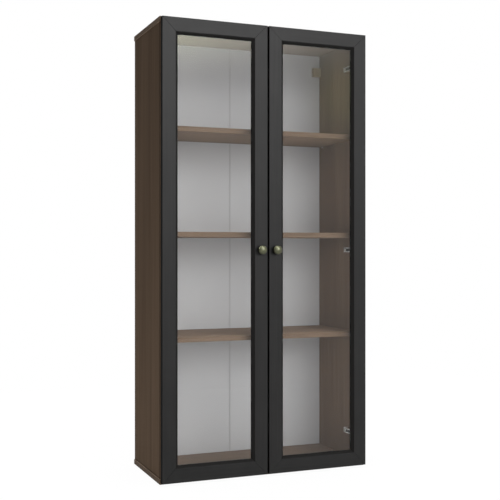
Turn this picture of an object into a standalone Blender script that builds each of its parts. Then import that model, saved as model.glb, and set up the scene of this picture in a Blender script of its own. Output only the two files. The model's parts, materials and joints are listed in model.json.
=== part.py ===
# A tall display cabinet with two framed glass doors. The carcass is faced chipboard with a
# two-part hardboard back, three shelves and four glides, and each door is a mitred frame with a
# pane, a glazing bead, a knob and three concealed hinges.
#
# Metres, +Z up, the front faces -Y. The origin lies on the floor under the middle of the box
# that holds the whole cabinet, knobs included. Side -1 is the left as seen from the front.

import math

import bmesh
import bpy
from mathutils import Vector
from mathutils.geometry import convex_hull_2d

# Overall size
WIDTH = 0.800               # over the ends of the top and bottom panels
HEIGHT = 1.630              # floor to the top face
CARCASS_DEPTH = 0.343       # top panel, front to back

# Boards, back and clearances
BOARD = 0.018               # faced chipboard
BOARD_ARRIS = 0.0006        # eased edge of a board
SIDE_INSET = 0.0015         # a side stands in from the panel ends
BACK_SHEET = 0.003          # hardboard
BACK_INSET = 0.0015         # back sheet in from the panels' rear edge
BACK_EDGE_INSET = 0.002     # back sheet in from the side's outer face
SEAT = 0.0003               # gap between pieces that touch
WELD = 0.000001             # points closer than this are one

# Strip that joins the two back sheets
JOINT_X = -0.013            # the sheets are of unequal width
STRIP_FRONT = 0.0055        # width of the flange that shows
STRIP_REAR = 0.014
STRIP_WALL = 0.0008

# Glides under the bottom panel
GLIDE_HEIGHT = 0.005
GLIDE_RADIUS = 0.011
GLIDE_ROUND = 0.0015
GLIDE_INSET_X = 0.035
GLIDE_INSET_Y = 0.032

# Shelves and their pins
UPPER_CLEAR = 0.3555        # clear height of each of the three upper compartments
SHELF_SETBACK = 0.030       # behind the carcass front
SHELF_BACK_GAP = 0.004
SHELF_SIDE_GAP = 0.0005     # at each end of a loose shelf
PIN_RADIUS = 0.0025
PIN_IN_BOARD = 0.009
PIN_COLLAR_RADIUS = 0.004
PIN_COLLAR = 0.0015
PIN_REACH = 0.0085          # from the side into the cabinet
PIN_FROM_FRONT = 0.037      # behind the shelf's front edge
PIN_FROM_BACK = 0.037

# Blocks that take the wall screws
BLOCK_WIDTH = 0.035
BLOCK_HEIGHT = 0.0345
BLOCK_BELOW_TOP = 0.051

# Doors
DOOR_THICKNESS = 0.020
DOOR_GAP = 0.002            # between a door and the carcass front
DOOR_SIDE_REVEAL = 0.0028
DOOR_TOP_REVEAL = 0.004
DOOR_BOTTOM_REVEAL = 0.0062
MEETING_GAP = 0.0065
FRAME_FACE = 0.0495         # flat width of a stile or rail
FRAME_ARRIS = 0.0012        # rounding of the frame's edges
LEDGE = 0.0088              # what the pane rests against, and the width of the bead
GLASS_DEPTH = 0.0115        # face of the door to the face of the pane
GLASS = 0.004
GLASS_PLAY = 0.0006         # round the edge of the pane
BEAD_SINK = 0.0014          # top of the bead below the face of the door
BEAD_NOSE = 0.0012

# Bumpers on the meeting stiles
BUMPER_RADIUS = 0.0035
BUMPER_FROM_END = 0.001

# Knobs
KNOB_FROM_EDGE = 0.026      # door's meeting edge to the middle of the knob
KNOB_REACH = 0.028
KNOB_RADIUS = 0.0165
KNOB_NECK = 0.0062
KNOB_ROSE = 0.0095
KNOB_ROSE_HEIGHT = 0.003
KNOB_DOME = 0.0075          # height of the dome over the head's widest ring
KNOB_EDGE = 0.0035          # thickness of the head's rim

# Concealed hinges
HINGE_FROM_END = 0.114      # door end to the outer hinges
BORE_RADIUS = 0.0175        # standard cup bore
BORE_DEPTH = 0.012
BORE_FROM_EDGE = 0.005      # wood between the bore and the door's edge
CUP_WALL = 0.0012
CUP_FLOOR = 0.001
FLANGE = 0.001
FLANGE_LAP = 0.0018         # flange past the bore
FLANGE_WING = 0.0225        # cup centre to the centre of a wing
FLANGE_WING_RADIUS = 0.0055
FLANGE_WING_SHIFT = 0.0055
DOOR_PIVOT_IN = 0.005       # bore's edge to the pivot in the door
DOOR_PIVOT_DEPTH = 0.002    # below the back of the door
DOOR_PIN = 0.0014
ARM_PIVOT_RISE = 0.0133     # side's inner face to the pivot on the arm
ARM_PIVOT_FORWARD = 0.0015  # in front of the carcass
ARM_PIN = 0.0014
PIN_PLAY = 0.00025          # round a pivot pin
LINK_EYE = 0.0024
LINK_PLATE = 0.0024
LINK_WIDTH = 0.009
LINK_DIP = 0.007            # length of the link's cranked end
LINK_DIP_ANGLE = 45.0
NOSE_RADIUS = 0.0032
NOSE_WIDTH = 0.013
NOSE_FORK = 0.0055          # depth of the fork behind the pivot
ARM_WIDTH = 0.018
ARM_START = 0.008           # behind the carcass front
ARM_END = 0.095
ARM_SHEET = 0.0015
ARM_SLOT_WIDTH = 0.0065
ARM_SLOT_LENGTH = 0.016
ARM_SLOT_FROM_END = 0.006
PLATE_START = 0.018
PLATE = 0.003
PLATE_LAP = 0.004           # plate past the end of the arm
PLATE_WIDTH = 0.015
WING_CENTRE = 0.037         # behind the carcass front
WING_SPAN = 0.044
WING_RADIUS = 0.0065

# Facets of round pieces
FINE = 28
COARSE = 14
ARC = 4

# Places that several pieces share
TOTAL_DEPTH = KNOB_REACH + DOOR_THICKNESS + DOOR_GAP + CARCASS_DEPTH
REAR_Y = TOTAL_DEPTH / 2
FRONT_Y = REAR_Y - CARCASS_DEPTH                     # front edges of the carcass
DOOR_BACK_Y = FRONT_Y - DOOR_GAP
DOOR_FACE_Y = DOOR_BACK_Y - DOOR_THICKNESS
BACK_REAR_Y = REAR_Y - BACK_INSET
BACK_FACE_Y = BACK_REAR_Y - BACK_SHEET               # the face seen through the doors
INNER_LOW = GLIDE_HEIGHT + BOARD                     # upper face of the bottom panel
INNER_HIGH = HEIGHT - BOARD                          # lower face of the top panel
SIDE_OUTER_X = WIDTH / 2 - SIDE_INSET
SIDE_INNER_X = SIDE_OUTER_X - BOARD
SHELF_FRONT_Y = FRONT_Y + SHELF_SETBACK
SHELF_REAR_Y = BACK_FACE_Y - SHELF_BACK_GAP
UPPER_SHELF_TOP = INNER_HIGH - UPPER_CLEAR
MIDDLE_SHELF_TOP = UPPER_SHELF_TOP - BOARD - UPPER_CLEAR
LOWER_SHELF_TOP = MIDDLE_SHELF_TOP - BOARD - UPPER_CLEAR
DOOR_LOW = GLIDE_HEIGHT + DOOR_BOTTOM_REVEAL
DOOR_HIGH = HEIGHT - DOOR_TOP_REVEAL
DOOR_OUTER_X = WIDTH / 2 - DOOR_SIDE_REVEAL
DOOR_INNER_X = MEETING_GAP / 2
FRAME_WIDTH = FRAME_FACE + LEDGE
KNOB_X = DOOR_INNER_X + KNOB_FROM_EDGE
MID_Z = (DOOR_LOW + DOOR_HIGH) / 2
HINGE_HEIGHTS = {"top": DOOR_HIGH - HINGE_FROM_END, "middle": MID_Z, "bottom": DOOR_LOW + HINGE_FROM_END}
SIDES = {"left": -1, "right": 1}

# The hinge in plan: inward from the door's outer edge, and back from the carcass front
CUP_CENTRE = BORE_FROM_EDGE + BORE_RADIUS
SIDE_FACE = DOOR_OUTER_X - SIDE_INNER_X
DOOR_PIVOT = (BORE_FROM_EDGE + DOOR_PIVOT_IN, -DOOR_GAP - DOOR_PIVOT_DEPTH)
ARM_PIVOT = (SIDE_FACE + ARM_PIVOT_RISE, -ARM_PIVOT_FORWARD)
ARM_TOP = ARM_PIVOT[0] + NOSE_RADIUS


def clear_scene():
    """Removes what the file opened with."""
    for item in list(bpy.data.objects):
        bpy.data.objects.remove(item, do_unlink=True)


def make_material(name, colour, roughness, metallic=0.0, alpha=1.0):
    """A Principled material with a plain colour."""
    material = bpy.data.materials.new(name)
    material.use_nodes = True
    shader = material.node_tree.nodes["Principled BSDF"]
    shader.inputs["Base Color"].default_value = (*colour, 1.0)
    shader.inputs["Roughness"].default_value = roughness
    shader.inputs["Metallic"].default_value = metallic
    shader.inputs["Alpha"].default_value = alpha
    material.diffuse_color = (*colour, alpha)
    return material


def make_pivot(name, place):
    """An empty on a joint's axis, which carries the pieces that turn about it."""
    pivot = bpy.data.objects.new(name, None)
    pivot.empty_display_size = 0.05
    pivot.location = place
    bpy.context.scene.collection.objects.link(pivot)
    return pivot


def add_object(name, mesh, material, place, parent=None):
    """Puts a mesh, drawn about its own origin, at a place in the cabinet."""
    piece = bpy.data.objects.new(name, mesh)
    if not mesh.materials:
        mesh.materials.append(material)
    piece.parent = parent
    piece.location = Vector(place) - (parent.location if parent else Vector())
    bpy.context.scene.collection.objects.link(piece)
    return piece


def to_mesh(name, shape, sharp_angle=35.0):
    """Closes a bmesh and turns it into a mesh with its faces pointing out."""
    bmesh.ops.remove_doubles(shape, verts=shape.verts, dist=WELD)
    bmesh.ops.recalc_face_normals(shape, faces=shape.faces)
    mesh = bpy.data.meshes.new(name)
    shape.to_mesh(mesh)
    shape.free()
    mesh.shade_smooth()
    mesh.set_sharp_from_angle(angle=math.radians(sharp_angle))
    return mesh


def box(low, high, arris=0.0):
    """A box between two corners, its edges eased by a small flat."""
    shape = bmesh.new()
    bmesh.ops.create_cube(shape, size=1.0)
    low = Vector(low)
    high = Vector(high)
    for vertex in shape.verts:
        vertex.co = low + Vector((vertex.co[i] + 0.5) * (high[i] - low[i]) for i in range(3))
    if arris:
        bmesh.ops.bevel(shape, geom=shape.edges[:], offset=arris, segments=1, affect="EDGES")
    return shape


def turned(profile, centre, axis, across, steps):
    """Spins a profile of (radius, height) points round an axis through the centre."""
    shape = bmesh.new()
    centre = Vector(centre)
    axis = Vector(axis)
    across = Vector(across)
    points = [shape.verts.new(centre + across * radius + axis * height) for radius, height in profile]
    edges = [shape.edges.new(pair) for pair in zip(points, points[1:])]
    bmesh.ops.spin(shape, geom=points + edges, cent=centre, axis=axis, angle=math.tau, steps=steps)
    bmesh.ops.remove_doubles(shape, verts=shape.verts, dist=WELD)
    return shape


def rod(centre, axis, across, radius, start, end, steps=COARSE):
    """A plain cylinder along an axis."""
    profile = [(0.0, start), (radius, start), (radius, end), (0.0, end)]
    return turned(profile, centre, axis, across, steps)


def prism(loops, place, start, end):
    """Fills flat outlines, the first one with the others as holes, and extrudes them.

    place turns two plan values and a height into a point.
    """
    shape = bmesh.new()
    for loop in loops:
        points = [shape.verts.new(place(a, b, start)) for a, b in loop]
        for first, second in zip(points, points[1:] + points[:1]):
            shape.edges.new((first, second))
    bmesh.ops.triangle_fill(shape, use_beauty=True, edges=shape.edges[:])
    lifted = bmesh.ops.extrude_face_region(shape, geom=shape.faces[:])["geom"]
    rise = Vector(place(0.0, 0.0, end)) - Vector(place(0.0, 0.0, start))
    moved = [item for item in lifted if isinstance(item, bmesh.types.BMVert)]
    bmesh.ops.translate(shape, verts=moved, vec=rise)
    return shape


def arc(centre, radius, start, end, steps=ARC):
    """Points on an arc, angles in degrees, both ends included."""
    angles = [math.radians(start + (end - start) * i / steps) for i in range(steps + 1)]
    return [(centre[0] + radius * math.cos(a), centre[1] + radius * math.sin(a)) for a in angles]


def circle(centre, radius, steps):
    """Points round a full circle."""
    return arc(centre, radius, 0.0, 360.0 - 360.0 / steps, steps - 1)


def rounded(low_a, high_a, low_b, high_b, radius):
    """The outline of a rectangle with round corners."""
    corners = [(high_a, high_b), (low_a, high_b), (low_a, low_b), (high_a, low_b)]
    outline = []
    for quarter, (a, b) in enumerate(corners):
        turn = 90.0 * quarter
        centre = (a - math.copysign(radius, math.cos(math.radians(turn + 45.0))),
                  b - math.copysign(radius, math.sin(math.radians(turn + 45.0))))
        outline += arc(centre, radius, turn, turn + 90.0)
    return outline


def carved(name, base, steps):
    """The base after a chain of exact Booleans, each given as an operation and a tool."""
    body = bpy.data.objects.new(name, to_mesh(name, base))
    bpy.context.scene.collection.objects.link(body)
    tools = []
    for operation, shape in steps:
        tool = bpy.data.objects.new(name + "_tool", to_mesh(name + "_tool", shape))
        bpy.context.scene.collection.objects.link(tool)
        step = body.modifiers.new("step", "BOOLEAN")
        step.operation = operation
        step.object = tool
        tools.append(tool)
    bpy.context.view_layer.update()
    graph = bpy.context.evaluated_depsgraph_get()
    mesh = bpy.data.meshes.new_from_object(body.evaluated_get(graph))
    mesh.name = name
    for item in tools + [body]:
        bpy.data.objects.remove(item, do_unlink=True)
    shape = bmesh.new()
    shape.from_mesh(mesh)
    bmesh.ops.dissolve_degenerate(shape, dist=WELD, edges=shape.edges[:])
    bpy.data.meshes.remove(mesh)
    return to_mesh(name, shape)


def make_panels(board):
    """Top and bottom panels, which run over the ends of the sides."""
    half = WIDTH / 2
    levels = {"bottom_panel": (GLIDE_HEIGHT, INNER_LOW), "top_panel": (INNER_HIGH, HEIGHT)}
    for name, (low, high) in levels.items():
        shape = box((-half, -CARCASS_DEPTH / 2, 0.0), (half, CARCASS_DEPTH / 2, high - low), BOARD_ARRIS)
        add_object(name, to_mesh(name, shape), board, (0.0, REAR_Y - CARCASS_DEPTH / 2, low))


def pin_places():
    """Front and rear pins, each by name and distance along Y."""
    return {"front": SHELF_FRONT_Y + PIN_FROM_FRONT, "rear": SHELF_REAR_Y - PIN_FROM_BACK}


def pin_heights():
    """Centre height of the pins under each loose shelf."""
    drop = BOARD + SEAT + PIN_RADIUS
    return {"upper": UPPER_SHELF_TOP - drop, "lower": LOWER_SHELF_TOP - drop}


def make_sides(board):
    """Side panels between the top and bottom panels, bored for the shelf pins."""
    low = INNER_LOW + SEAT
    rear = BACK_FACE_Y - SEAT
    for word, side in SIDES.items():
        shape = box((-BOARD / 2, FRONT_Y, low), (BOARD / 2, rear, INNER_HIGH - SEAT), BOARD_ARRIS)
        bores = []
        for y in pin_places().values():
            for z in pin_heights().values():
                mouth = (-side * BOARD / 2, y, z)
                bore = rod(mouth, (side, 0, 0), (0, 1, 0), PIN_RADIUS + SEAT, -SEAT, PIN_IN_BOARD + SEAT)
                bores.append(("DIFFERENCE", bore))
        name = "side_panel_" + word
        x = side * (SIDE_INNER_X + SIDE_OUTER_X) / 2
        add_object(name, carved(name, shape, bores), board, (x, 0.0, 0.0))


def make_back(sheet, plastic):
    """Two back sheets behind the sides, and the H-shaped strip that joins them."""
    low = INNER_LOW + SEAT
    high = INNER_HIGH - SEAT
    edge = SIDE_OUTER_X - BACK_EDGE_INSET
    web = STRIP_WALL / 2
    ends = {"left": (-edge, JOINT_X - web - SEAT), "right": (JOINT_X + web + SEAT, edge)}
    for word, (start, end) in ends.items():
        name = "back_panel_" + word
        shape = box((start, BACK_FACE_Y, low), (end, BACK_REAR_Y, high))
        add_object(name, to_mesh(name, shape), sheet, (0.0, 0.0, 0.0))
    front = STRIP_FRONT / 2
    rear = STRIP_REAR / 2
    inner_front = BACK_FACE_Y - SEAT
    inner_rear = BACK_REAR_Y + SEAT
    half_outline = [(front, inner_front - STRIP_WALL), (front, inner_front), (web, inner_front),
                    (web, inner_rear), (rear, inner_rear), (rear, inner_rear + STRIP_WALL)]
    outline = half_outline + [(-x, y) for x, y in reversed(half_outline)]
    shape = prism([outline], lambda x, y, z: (x, y, z), low, high)
    add_object("back_joint_strip", to_mesh("back_joint_strip", shape), plastic, (JOINT_X, 0.0, 0.0))


def make_glides(plastic):
    """Glides that carry the cabinet clear of the floor."""
    top = GLIDE_HEIGHT - SEAT
    foot = GLIDE_RADIUS - GLIDE_ROUND
    profile = [(0.0, 0.0), (foot, 0.0), (GLIDE_RADIUS, GLIDE_ROUND), (GLIDE_RADIUS, top), (0.0, top)]
    mesh = to_mesh("glide", turned(profile, (0, 0, 0), (0, 0, 1), (1, 0, 0), COARSE))
    rows = {"front": FRONT_Y + GLIDE_INSET_Y, "rear": REAR_Y - GLIDE_INSET_Y}
    for row, y in rows.items():
        for word, side in SIDES.items():
            x = side * (WIDTH / 2 - GLIDE_INSET_X)
            add_object("glide_" + row + "_" + word, mesh, plastic, (x, y, 0.0))


def make_shelves(board):
    """Two loose shelves on pins and the middle one, which ties the sides together."""
    tops = {"upper": UPPER_SHELF_TOP, "middle": MIDDLE_SHELF_TOP, "lower": LOWER_SHELF_TOP}
    depth = SHELF_REAR_Y - SHELF_FRONT_Y
    for word, top in tops.items():
        half = SIDE_INNER_X - (SEAT if word == "middle" else SHELF_SIDE_GAP)
        shape = box((-half, 0.0, -BOARD), (half, depth, 0.0), BOARD_ARRIS)
        name = "shelf_" + word
        add_object(name, to_mesh(name, shape), board, (0.0, SHELF_FRONT_Y, top))


def make_pins(steel):
    """Shelf pins, each with a collar against the side."""
    outside = [(0.0, PIN_REACH), (PIN_RADIUS, PIN_REACH), (PIN_RADIUS, PIN_COLLAR)]
    collar = [(PIN_COLLAR_RADIUS, PIN_COLLAR), (PIN_COLLAR_RADIUS, SEAT)]
    inside = [(PIN_RADIUS, SEAT), (PIN_RADIUS, -PIN_IN_BOARD), (0.0, -PIN_IN_BOARD)]
    profile = outside + collar + inside
    for word, side in SIDES.items():
        shape = turned(profile, (0, 0, 0), (-side, 0, 0), (0, 1, 0), COARSE)
        # The collar is cut flat on top, where the shelf comes down on the pin
        trim_low = (-BOARD, -PIN_COLLAR_RADIUS * 2, PIN_RADIUS)
        trim = box(trim_low, (BOARD, PIN_COLLAR_RADIUS * 2, PIN_COLLAR_RADIUS * 2))
        mesh = carved("shelf_pin_" + word, shape, [("DIFFERENCE", trim)])
        for shelf, z in pin_heights().items():
            for row, y in pin_places().items():
                name = "shelf_pin_" + shelf + "_" + row + "_" + word
                add_object(name, mesh, steel, (side * SIDE_INNER_X, y, z))


def make_blocks(board):
    """Corner blocks for the screws that hold the cabinet to a wall."""
    high = INNER_HIGH - BLOCK_BELOW_TOP
    rear = BACK_FACE_Y - SEAT
    for word, side in SIDES.items():
        outer = SIDE_INNER_X - SEAT
        shape = box((-BLOCK_WIDTH / 2, -BOARD, -BLOCK_HEIGHT), (BLOCK_WIDTH / 2, 0.0, 0.0), BOARD_ARRIS)
        name = "wall_block_" + word
        add_object(name, to_mesh(name, shape), board, (side * (outer - BLOCK_WIDTH / 2), rear, high))


def frame_section():
    """Section of a stile or rail: inward from the outer edge, and back from the face."""
    seat = GLASS_DEPTH + GLASS + SEAT
    outer = arc((FRAME_ARRIS, FRAME_ARRIS), FRAME_ARRIS, 180.0, 270.0)
    inner = arc((FRAME_FACE - FRAME_ARRIS, FRAME_ARRIS), FRAME_ARRIS, 270.0, 360.0)
    back = [(FRAME_FACE, seat), (FRAME_WIDTH, seat), (FRAME_WIDTH, DOOR_THICKNESS), (0.0, DOOR_THICKNESS)]
    return outer + inner + back


def mitred(section, start, end, inward):
    """A length of the section between two outer corners, both ends cut at 45 degrees."""
    start = Vector(start)
    end = Vector(end)
    inward = Vector(inward)
    along = (end - start).normalized()
    short = SEAT / math.sqrt(2.0)
    shape = bmesh.new()
    rings = []
    for corner, sense in ((start, 1.0), (end, -1.0)):
        ring = [corner + inward * u + Vector((0, t, 0)) + along * sense * (u + short) for u, t in section]
        rings.append([shape.verts.new(point) for point in ring])
    count = len(section)
    for i in range(count):
        j = (i + 1) % count
        shape.faces.new((rings[0][i], rings[0][j], rings[1][j], rings[1][i]))
    shape.faces.new(rings[0])
    shape.faces.new(rings[1])
    return shape


def make_frame(word, side, charcoal, pivot):
    """The four mitred members of a door, the hinge stile bored for its cups."""
    face = DOOR_FACE_Y
    outer = side * DOOR_OUTER_X
    inner = side * DOOR_INNER_X
    members = {
        "stile_outer": ((outer, face, DOOR_LOW), (outer, face, DOOR_HIGH), (-side, 0, 0)),
        "stile_meeting": ((inner, face, DOOR_LOW), (inner, face, DOOR_HIGH), (side, 0, 0)),
        "rail_top": ((outer, face, DOOR_HIGH), (inner, face, DOOR_HIGH), (0, 0, -1)),
        "rail_bottom": ((outer, face, DOOR_LOW), (inner, face, DOOR_LOW), (0, 0, 1)),
    }
    for member, (start, end, inward) in members.items():
        name = "door_" + word + "_" + member
        shape = mitred(frame_section(), start, end, inward)
        bmesh.ops.translate(shape, verts=shape.verts, vec=-pivot.location)
        cuts = []
        if member == "stile_outer":
            for z in HINGE_HEIGHTS.values():
                mouth = Vector((plan(side, CUP_CENTRE, 0.0, 0.0)[0], DOOR_BACK_Y, z)) - pivot.location
                bore = rod(mouth, (0, -1, 0), (1, 0, 0), BORE_RADIUS, -BORE_DEPTH, BORE_DEPTH, FINE)
                cuts.append(("DIFFERENCE", bore))
        mesh = carved(name, shape, cuts) if cuts else to_mesh(name, shape)
        add_object(name, mesh, charcoal, pivot.location, pivot)


def make_pane(word, side, glass, pivot):
    """The pane, set in from the front against the ledge."""
    edge = FRAME_FACE + GLASS_PLAY
    near = side * (DOOR_INNER_X + edge)
    far = side * (DOOR_OUTER_X - edge)
    low = (min(near, far), DOOR_FACE_Y + GLASS_DEPTH, DOOR_LOW + edge)
    high = (max(near, far), DOOR_FACE_Y + GLASS_DEPTH + GLASS, DOOR_HIGH - edge)
    shape = box(Vector(low) - pivot.location, Vector(high) - pivot.location)
    name = "door_" + word + "_pane"
    add_object(name, to_mesh(name, shape), glass, pivot.location, pivot)


def make_bead(word, side, black, pivot):
    """The sloping bead that runs round the pane and holds it from the front."""
    foot = GLASS_DEPTH - SEAT
    near = FRAME_FACE + SEAT
    section = [(near, BEAD_SINK), (FRAME_WIDTH, foot - BEAD_NOSE), (FRAME_WIDTH, foot), (near, foot)]
    outer = side * DOOR_OUTER_X
    inner = side * DOOR_INNER_X
    corners = [(outer, DOOR_LOW, -side, 1), (inner, DOOR_LOW, side, 1), (inner, DOOR_HIGH, side, -1),
               (outer, DOOR_HIGH, -side, -1)]
    shape = bmesh.new()
    rings = []
    for x, z, across, up in corners:
        points = [Vector((x + across * u, DOOR_FACE_Y + t, z + up * u)) - pivot.location for u, t in section]
        rings.append([shape.verts.new(point) for point in points])
    count = len(section)
    for ring, following in zip(rings, rings[1:] + rings[:1]):
        for i in range(count):
            j = (i + 1) % count
            shape.faces.new((ring[i], ring[j], following[j], following[i]))
    name = "door_" + word + "_bead"
    add_object(name, to_mesh(name, shape), black, pivot.location, pivot)


def knob_profile():
    """The turned profile, heights measured from the face of the door."""
    rim = KNOB_REACH - KNOB_DOME
    under = rim - KNOB_EDGE
    rose_round = KNOB_ROSE_HEIGHT / 2
    rose = arc((KNOB_ROSE - rose_round, SEAT + rose_round), rose_round, 0.0, 90.0)
    hollow = KNOB_RADIUS - KNOB_EDGE / 2 - KNOB_NECK
    neck_low = KNOB_ROSE_HEIGHT + SEAT
    flare = hollow * 0.55
    turns = [math.radians(90.0 * i / ARC) for i in range(ARC + 1)]
    sweep = [(KNOB_NECK + hollow * (1.0 - math.cos(a)), under - flare * (1.0 - math.sin(a))) for a in turns]
    edge = arc((KNOB_RADIUS - KNOB_EDGE / 2, rim - KNOB_EDGE / 2), KNOB_EDGE / 2, -90.0, 45.0)
    top_radius = edge[-1][0]
    dome_rise = KNOB_REACH - edge[-1][1]
    dome = [(top_radius * math.cos(math.radians(a)), edge[-1][1] + dome_rise * math.sin(math.radians(a)))
            for a in (15.0, 30.0, 45.0, 60.0, 75.0)]
    stem = [(0.0, SEAT), (KNOB_ROSE, SEAT)] + rose + [(KNOB_NECK, neck_low)]
    return stem + sweep + edge + dome + [(0.0, KNOB_REACH)]


def make_knob(word, side, brass, pivot):
    """A turned knob at mid-height of the meeting stile."""
    shape = turned(knob_profile(), (0, 0, 0), (0, -1, 0), (1, 0, 0), FINE)
    name = "door_" + word + "_knob"
    add_object(name, to_mesh(name, shape, 50.0), brass, (side * KNOB_X, DOOR_FACE_Y, MID_Z), pivot)


def make_bumpers(word, side, clear, pivot):
    """Soft pads on the back of the meeting stile, which meet the top and bottom panels."""
    from_end = BUMPER_RADIUS + BUMPER_FROM_END
    ends = {"top": DOOR_HIGH - from_end, "bottom": DOOR_LOW + from_end}
    for end, z in ends.items():
        shape = rod((0, 0, 0), (0, 1, 0), (1, 0, 0), BUMPER_RADIUS, SEAT, DOOR_GAP - SEAT)
        name = "door_" + word + "_bumper_" + end
        add_object(name, to_mesh(name, shape), clear, (side * KNOB_X, DOOR_BACK_Y, z), pivot)


def plan(side, inward, back, z):
    """A point of the hinge from its plan values."""
    return (side * (DOOR_OUTER_X - inward), FRONT_Y + back, z)


def hinge_mesh_place(side, origin):
    """Turns hinge plan values into points about the mesh's origin."""
    def place(inward, back, z):
        return (-side * (inward - origin[0]), back - origin[1], z)
    return place


def make_cup_mesh(side):
    """Cup with its flange, and the pivot pin across it, about the pin's middle."""
    place = hinge_mesh_place(side, DOOR_PIVOT)
    surface = -DOOR_GAP
    outer = BORE_RADIUS - SEAT
    inner = outer - CUP_WALL
    depth = BORE_DEPTH - SEAT
    rim = -SEAT - FLANGE / 2
    profile = [(0.0, depth), (outer, depth), (outer, rim), (inner, rim), (inner, depth - CUP_FLOOR),
               (0.0, depth - CUP_FLOOR)]
    centre = place(CUP_CENTRE, surface, 0.0)
    cup = turned(profile, centre, (0, -1, 0), (1, 0, 0), FINE)
    hole = circle((CUP_CENTRE, 0.0), inner + CUP_WALL / 4, FINE)
    wing = CUP_CENTRE + FLANGE_WING_SHIFT
    points = circle((CUP_CENTRE, 0.0), BORE_RADIUS + FLANGE_LAP, FINE)
    for z in (-FLANGE_WING, FLANGE_WING):
        points += circle((wing, z), FLANGE_WING_RADIUS, COARSE)
    outline = [points[i] for i in convex_hull_2d(points)]
    flange = prism([outline, hole], lambda a, z, b: place(a, b, z), surface + SEAT, surface + SEAT + FLANGE)
    pin = rod((0, 0, 0), (0, 0, 1), (1, 0, 0), DOOR_PIN, -outer, outer)
    # The pin ends inside the cup's wall, on a cylinder at half its thickness
    trim = rod(centre, (0, -1, 0), (1, 0, 0), outer - CUP_WALL / 2, -depth, depth, FINE)
    return carved("hinge_cup", pin, [("INTERSECT", trim), ("UNION", cup), ("UNION", flange)])


def link_outline():
    """Plan of the cranked link, from the door pivot down into the cup and up to the arm."""
    start = Vector(DOOR_PIVOT)
    end = Vector(ARM_PIVOT)
    dip = math.radians(LINK_DIP_ANGLE)
    bend = start + LINK_DIP * Vector((math.cos(dip), -math.sin(dip)))
    half = LINK_PLATE / 2
    first = (bend - start).normalized()
    second = (end - bend).normalized()
    left_first = Vector((-first.y, first.x))
    left_second = Vector((-second.y, second.x))
    middle = (left_first + left_second).normalized()
    reach = half / middle.dot(left_first)
    turn_first = math.degrees(math.atan2(first.y, first.x))
    turn_second = math.degrees(math.atan2(second.y, second.x))
    opening = math.degrees(math.asin(half / LINK_EYE))
    start_eye = arc(start, LINK_EYE, turn_first + opening, turn_first + 360.0 - opening, COARSE)
    end_eye = arc(end, LINK_EYE, turn_second - 180.0 + opening, turn_second + 180.0 - opening, COARSE)
    return start_eye + [tuple(bend - middle * reach)] + end_eye + [tuple(bend + middle * reach)]


def make_link_mesh(side):
    """The link with an eye for each pin, about the arm's pin."""
    place = hinge_mesh_place(side, ARM_PIVOT)
    door_eye = circle(DOOR_PIVOT, DOOR_PIN + PIN_PLAY, COARSE)
    arm_eye = circle(ARM_PIVOT, ARM_PIN + PIN_PLAY, COARSE)
    shape = prism([link_outline(), door_eye, arm_eye], place, -LINK_WIDTH / 2, LINK_WIDTH / 2)
    return to_mesh("hinge_link", shape)


def make_arm_mesh(side):
    """The folded steel arm on its mounting plate, with a forked nose and its pin."""
    place = hinge_mesh_place(side, ARM_PIVOT)

    def facing(back, z, inward):
        return place(inward, back, z)

    seat = SIDE_FACE + SEAT
    foot = seat + PLATE / 2
    nose_top = ARM_START + NOSE_RADIUS * 2
    nose = arc(ARM_PIVOT, NOSE_RADIUS, 0.0, -180.0, COARSE // 2)
    nose += [(foot + NOSE_RADIUS, ARM_START), (foot + NOSE_RADIUS, nose_top), (ARM_TOP, nose_top)]
    head = prism([nose], place, -NOSE_WIDTH / 2, NOSE_WIDTH / 2)
    round_end = ARM_SHEET * 2
    tail = arc((ARM_TOP - round_end, ARM_END - round_end), round_end, 0.0, 90.0)
    body_outline = [(ARM_TOP, ARM_START)] + tail
    body_outline += [(foot, ARM_END), (foot, PLATE_START), (foot + NOSE_RADIUS, ARM_START)]
    body = prism([body_outline], place, -ARM_WIDTH / 2, ARM_WIDTH / 2)
    fork_end = ARM_PIVOT[1] + NOSE_FORK
    fork_width = LINK_WIDTH / 2 + SEAT
    before = ARM_PIVOT[1] - NOSE_RADIUS * 2
    above = ARM_TOP + SEAT
    fork = [(SIDE_FACE, before), (above, before), (above, fork_end), (SIDE_FACE, fork_end)]
    channel_top = ARM_TOP - ARM_SHEET
    channel_start = nose_top + ARM_SHEET
    channel_end = ARM_END + ARM_SHEET
    channel = [(SIDE_FACE, channel_start), (channel_top, channel_start), (channel_top, channel_end),
               (SIDE_FACE, channel_end)]
    slot_end = ARM_END - ARM_SLOT_FROM_END
    slot_half = ARM_SLOT_WIDTH / 2
    slot = rounded(slot_end - ARM_SLOT_LENGTH, slot_end, -slot_half, slot_half, slot_half * 0.98)
    plate_half = PLATE_WIDTH / 2
    plate_round = PLATE_WIDTH / 2 * 0.9
    plate = rounded(PLATE_START, ARM_END + PLATE_LAP, -plate_half, plate_half, plate_round)
    tips = []
    for z in (-WING_SPAN / 2 + WING_RADIUS, WING_SPAN / 2 - WING_RADIUS):
        tips += circle((WING_CENTRE, z), WING_RADIUS, COARSE)
    wings = [tips[i] for i in convex_hull_2d(tips)]
    pin_half = NOSE_WIDTH / 2 - SEAT
    steps = [
        ("UNION", body),
        ("DIFFERENCE", prism([fork], place, -fork_width, fork_width)),
        ("DIFFERENCE", prism([channel], place, -ARM_WIDTH / 2 + ARM_SHEET, ARM_WIDTH / 2 - ARM_SHEET)),
        ("DIFFERENCE", prism([slot], facing, channel_top - SEAT, ARM_TOP + SEAT)),
        ("UNION", prism([plate], facing, seat, seat + PLATE)),
        ("UNION", prism([wings], facing, seat, seat + PLATE * 0.8)),
        ("UNION", rod((0, 0, 0), (0, 0, 1), (1, 0, 0), ARM_PIN, -pin_half, pin_half)),
    ]
    return carved("hinge_arm", head, steps)


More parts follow.
